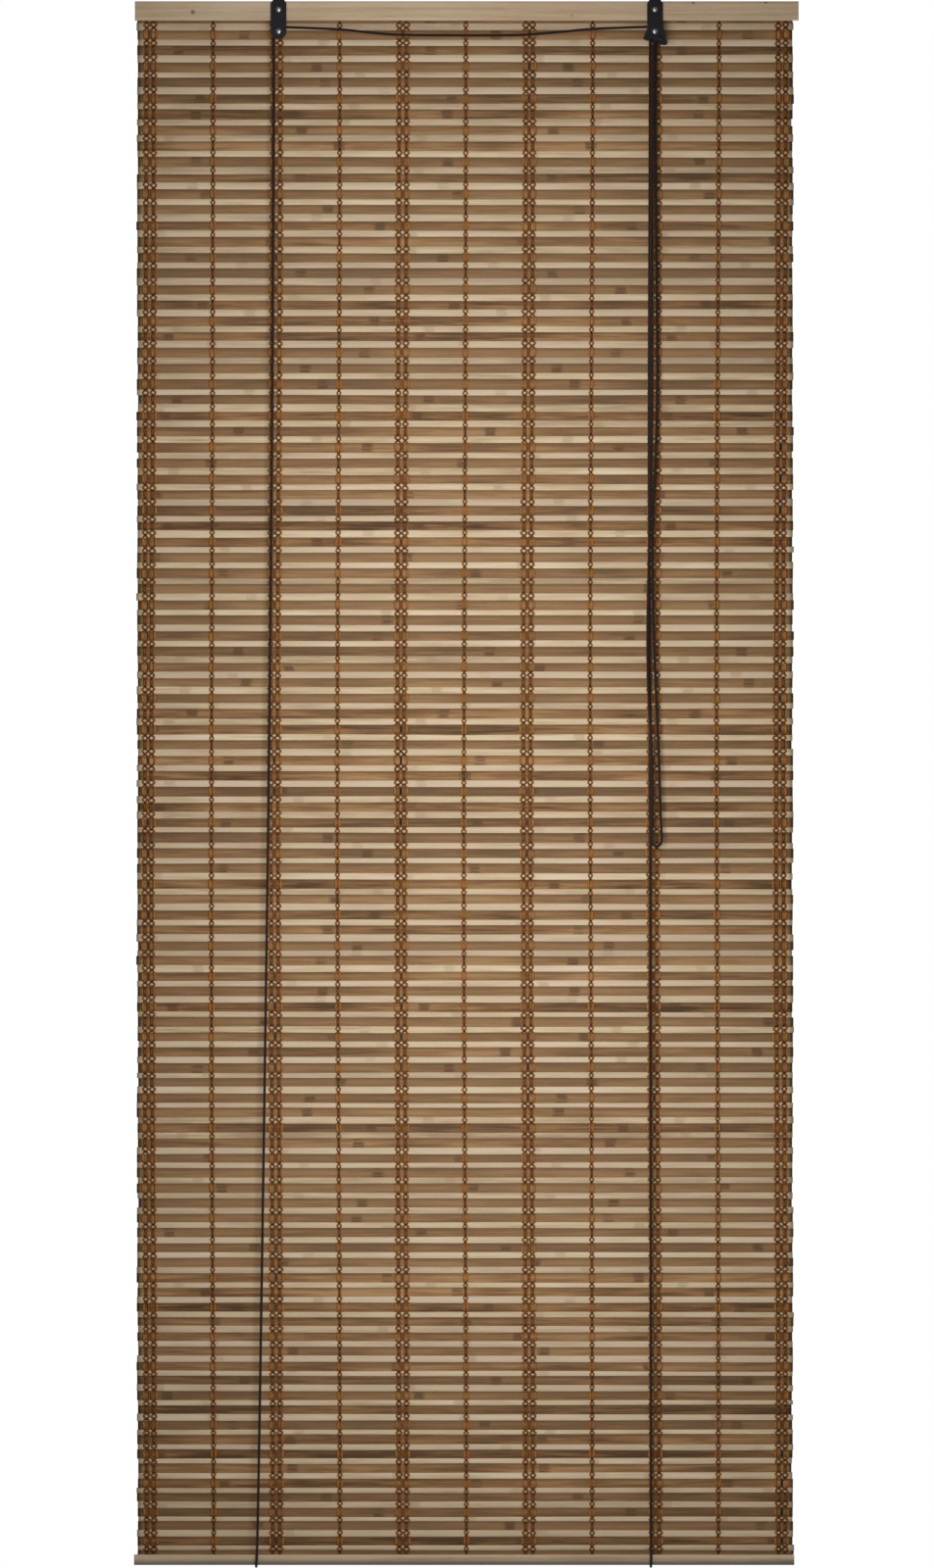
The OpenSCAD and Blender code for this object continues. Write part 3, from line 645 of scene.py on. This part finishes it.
def chain_paths(middles, reach, step, front):
    """Centre lines of the yarns on one face of the mat, two to a chain, as an array of yarn, point and XYZ.

    The lines bow a little to the left at half height, swing to the two sides, lie on the slats or over each
    other, are pressed flat behind the battens and turn over the mat's upper and lower edges to its middle.
    """
    z = np.linspace(MAT_TOP - 0.9, MAT_LOW + 0.9, int(round((MAT_TOP - MAT_LOW) / step)))
    pressed = np.zeros_like(z)
    if front:
        pressed = ease(z, HEAD_LOW - 4, HEAD_LOW) + ease(-z, -FOOT_TOP - 4, -FOOT_TOP)
    face = MAT_MIDDLE + (-1 if front else 1) * (PALE_THICK / 2 + YARN_HALF_THICK - 0.22 * pressed)
    lift = (-0.72 if front else 0.5) * (1 - pressed)
    even = np.linspace(0, MAT_TOP - MAT_LOW, 400)
    unstretched = np.interp(MAT_TOP - z, hang(even), even)
    paths = []
    for x in middles:
        phase = chance.uniform(0, ANY_TURN, 4)
        slip = 0.5 * np.sin(z / 61 + phase[0]) + 0.3 * np.sin(z / 23 + phase[1])
        full = 1 + 0.1 * np.sin(z / 47 + phase[2])
        lean = 0.35 * np.sin(z / 190 + phase[3]) + 1.2 * np.cos(2 * np.pi * z / MAT_LOW)
        down = unstretched - PITCH + slip
        swing = reach * full * chain_swing(down)
        for side, crossings in ((1, FIRST_OVER), (-1, SECOND_OVER)):
            y = face + lift * chain_over(down, crossings)
            run = np.stack([x + lean + side * swing, y, z], -1)
            start = [[run[0, 0], MAT_MIDDLE, MAT_TOP + 0.55],
                     [run[0, 0], (y[0] + MAT_MIDDLE) / 2, MAT_TOP + 0.4]]
            stop = [[run[-1, 0], (y[-1] + MAT_MIDDLE) / 2, MAT_LOW - 0.4],
                    [run[-1, 0], MAT_MIDDLE, MAT_LOW - 0.55]]
            paths.append(np.vstack([start, run, stop]))
    return np.array(paths)


def flat_tubes(paths, half_wide, half_thick, sides):
    """Tubes of an oval section about a stack of paths, wide along X and thin away from the mat.

    The half width is given for each yarn and point.
    """
    heading = unit(np.gradient(paths, axis=1))
    across = unit(np.array([1.0, 0, 0]) - heading * heading[..., :1])
    up = np.cross(heading, across)
    turn = 2 * np.pi * (np.arange(sides) + 0.5) / sides
    sideways = half_wide[..., None, None] * np.cos(turn)[:, None] * across[:, :, None]
    outwards = half_thick * np.sin(turn)[:, None] * up[:, :, None]
    return paths[:, :, None] + sideways + outwards


def tightness_and_shade(paths):
    """How tightly each yarn is drawn, from its place beside the nearest other one at the same height; the
    same measure sets the painted shade where yarns lie close or cross.

    0 where it runs straight and alone, 0.5 where it slants or lies beside the other, 1 where the two cross.
    """
    x = paths[..., 0]
    apart = (np.abs(x[:, None] - x[None]) + 99 * np.eye(len(x))[..., None]).min(1)
    beside = 1 - 0.5 * ease(apart, 1.9, 3.8) - 0.5 * ease(apart, 0.4, 1.7)
    slant = np.abs(np.gradient(x, axis=1)) / (np.abs(np.gradient(paths[..., 2], axis=1)) + 0.1)
    return np.maximum(beside, 0.5 * ease(slant, 0.1, 0.6))


def build_column(name, middles, swing, half_wide):
    """A warp column: its chains of yarn on both faces of the mat, thinner where they are drawn taut and
    darker with painted shade where they lie close or cross.
    """
    points, faces, uvs, knit, start = [], [], [], [], 0
    for front, step, sides in (FRONT_YARN, BACK_YARN):
        paths = chain_paths(middles, swing, step, front)
        tight_and_shaded = tightness_and_shade(paths)
        rings = flat_tubes(paths, half_wide * (1 - 0.4 * tight_and_shaded), YARN_HALF_THICK, sides)
        along = np.concatenate([lengths(path) for path in paths]) + chance.uniform(0, 9, (len(paths), 1))
        points.append(rings.reshape(-1, 3))
        faces.append(skin(rings) + start)
        uvs.append(skin_uv(along, sides))
        # The tightness is also the painted shade mark where yarns lie close or cross
        knit.append(np.broadcast_to(tight_and_shaded[..., None, None], rings.shape).reshape(-1, 3))
        start += len(points[-1])
    make_piece(f"{name}_yarn", np.concatenate(points), np.concatenate(faces), warp_yarn, "warp_yarn", [name],
               uv=np.concatenate(uvs), knit=np.concatenate(knit))


def build_warp():
    """The wide columns of two chains and the narrow ones of one."""
    for name, x in WIDE.items():
        build_column(name, [x - CHAIN_GAP / 2, x + CHAIN_GAP / 2], WIDE_SWING, WIDE_YARN_HALF)
    for name, x in NARROW.items():
        build_column(name, [x], NARROW_SWING, NARROW_YARN_HALF)


# CAD pieces whose shape is right

def dress(finish, *names):
    """Gives CAD pieces a finish in place of the one that they came with."""
    for name in names:
        nodes[name].data.materials.clear()
        nodes[name].data.materials.append(finish)


dress(planed_wood, "head_batten")
dress(shaded_foot_wood, "bottom_batten")
dress(satin_black, "left_front_plate", "left_rear_plate", "left_sheave", "right_front_plate",
      "right_rear_plate", "right_front_sheave", "right_rear_sheave")
dress(bright_steel, "left_axle", "left_screw", "right_axle", "right_screw", "head_staples",
      "bottom_staples", "left_cord_anchor", "right_cord_anchor")
dress(black_steel, "lock_roller")
build_cord()
build_mat()
build_warp()


# The studio

def plain_floor():
    """A pale round floor below the hanging blind."""
    radius = 1.25
    height = -2.15
    corners = 96
    turn = np.linspace(0, 2 * np.pi, corners, endpoint=False)
    rim = np.stack([radius * np.cos(turn), radius * np.sin(turn), np.full_like(turn, height)], -1)
    mesh = bpy.data.meshes.new("floor")
    mesh.from_pydata(rim.tolist(), [], [list(range(corners))])
    material, shader = new_finish("pale_floor", Roughness=0.8, Emission_Strength=0.14)
    for socket in ("Base Color", "Emission Color"):
        shader.inputs[socket].default_value = (0.86, 0.85, 0.83, 1)
    mesh.materials.append(material)
    floor = bpy.data.objects.new("floor", mesh)
    scene.collection.objects.link(floor)


def soft_light(name, place, aim, wide, high, lean, watts):
    """A soft light of a width and height at a place, turned towards a point and leaning in its own plane."""
    data = bpy.data.lights.new(name, "AREA")
    data.shape = "RECTANGLE"
    data.size = wide
    data.size_y = high
    data.energy = watts
    lamp = bpy.data.objects.new(name, data)
    scene.collection.objects.link(lamp)
    lamp.location = place
    lamp.rotation_mode = "QUATERNION"
    towards = (Vector(aim) - Vector(place)).to_track_quat("-Z", "Y")
    lamp.rotation_quaternion = towards @ Quaternion((0, 0, 1), lean)
    lamp.visible_camera = False


def white_room(fill):
    """A white surround for the camera that lights the blind with a softer fill."""
    world = bpy.data.worlds.new("white_room")
    scene.world = world
    world.use_nodes = True
    tree = world.node_tree
    seen = tree.nodes.new("ShaderNodeLightPath")
    strength = tree.nodes.new("ShaderNodeMapRange")
    strength.inputs["To Min"].default_value = fill
    tree.links.new(seen.outputs["Is Camera Ray"], strength.inputs["Value"])
    tree.links.new(strength.outputs[0], tree.nodes["Background"].inputs["Strength"])
    tree.nodes["Background"].inputs["Color"].default_value = (1, 1, 1, 1)


def straight_camera():
    """A long lens square on to the blind, whose frame has the photograph's height at the mat's face."""
    frame_high = 1.8062
    mat_face = 0.0128
    away = 14.0
    film = 36
    data = bpy.data.cameras.new("camera")
    data.sensor_width = film
    data.lens = film * (away + mat_face) / frame_high
    data.clip_end = 100
    camera = bpy.data.objects.new("camera", data)
    scene.collection.objects.link(camera)
    camera.location = (0.00028, -away, -0.9099)
    camera.rotation_euler = (np.pi / 2, 0, 0)
    scene.camera = camera


plain_floor()
soft_light("tall_strip", (0, -0.6, -0.82), (0, 0.013, -0.82), wide=0.5, high=1.72, lean=0.05, watts=7.2)
soft_light("back", (0.9, 2.4, -0.3), (0, 0, -0.9), wide=1.6, high=1.6, lean=0, watts=85)
white_room(0.195)
straight_camera()
scene.view_settings.view_transform = "Standard"
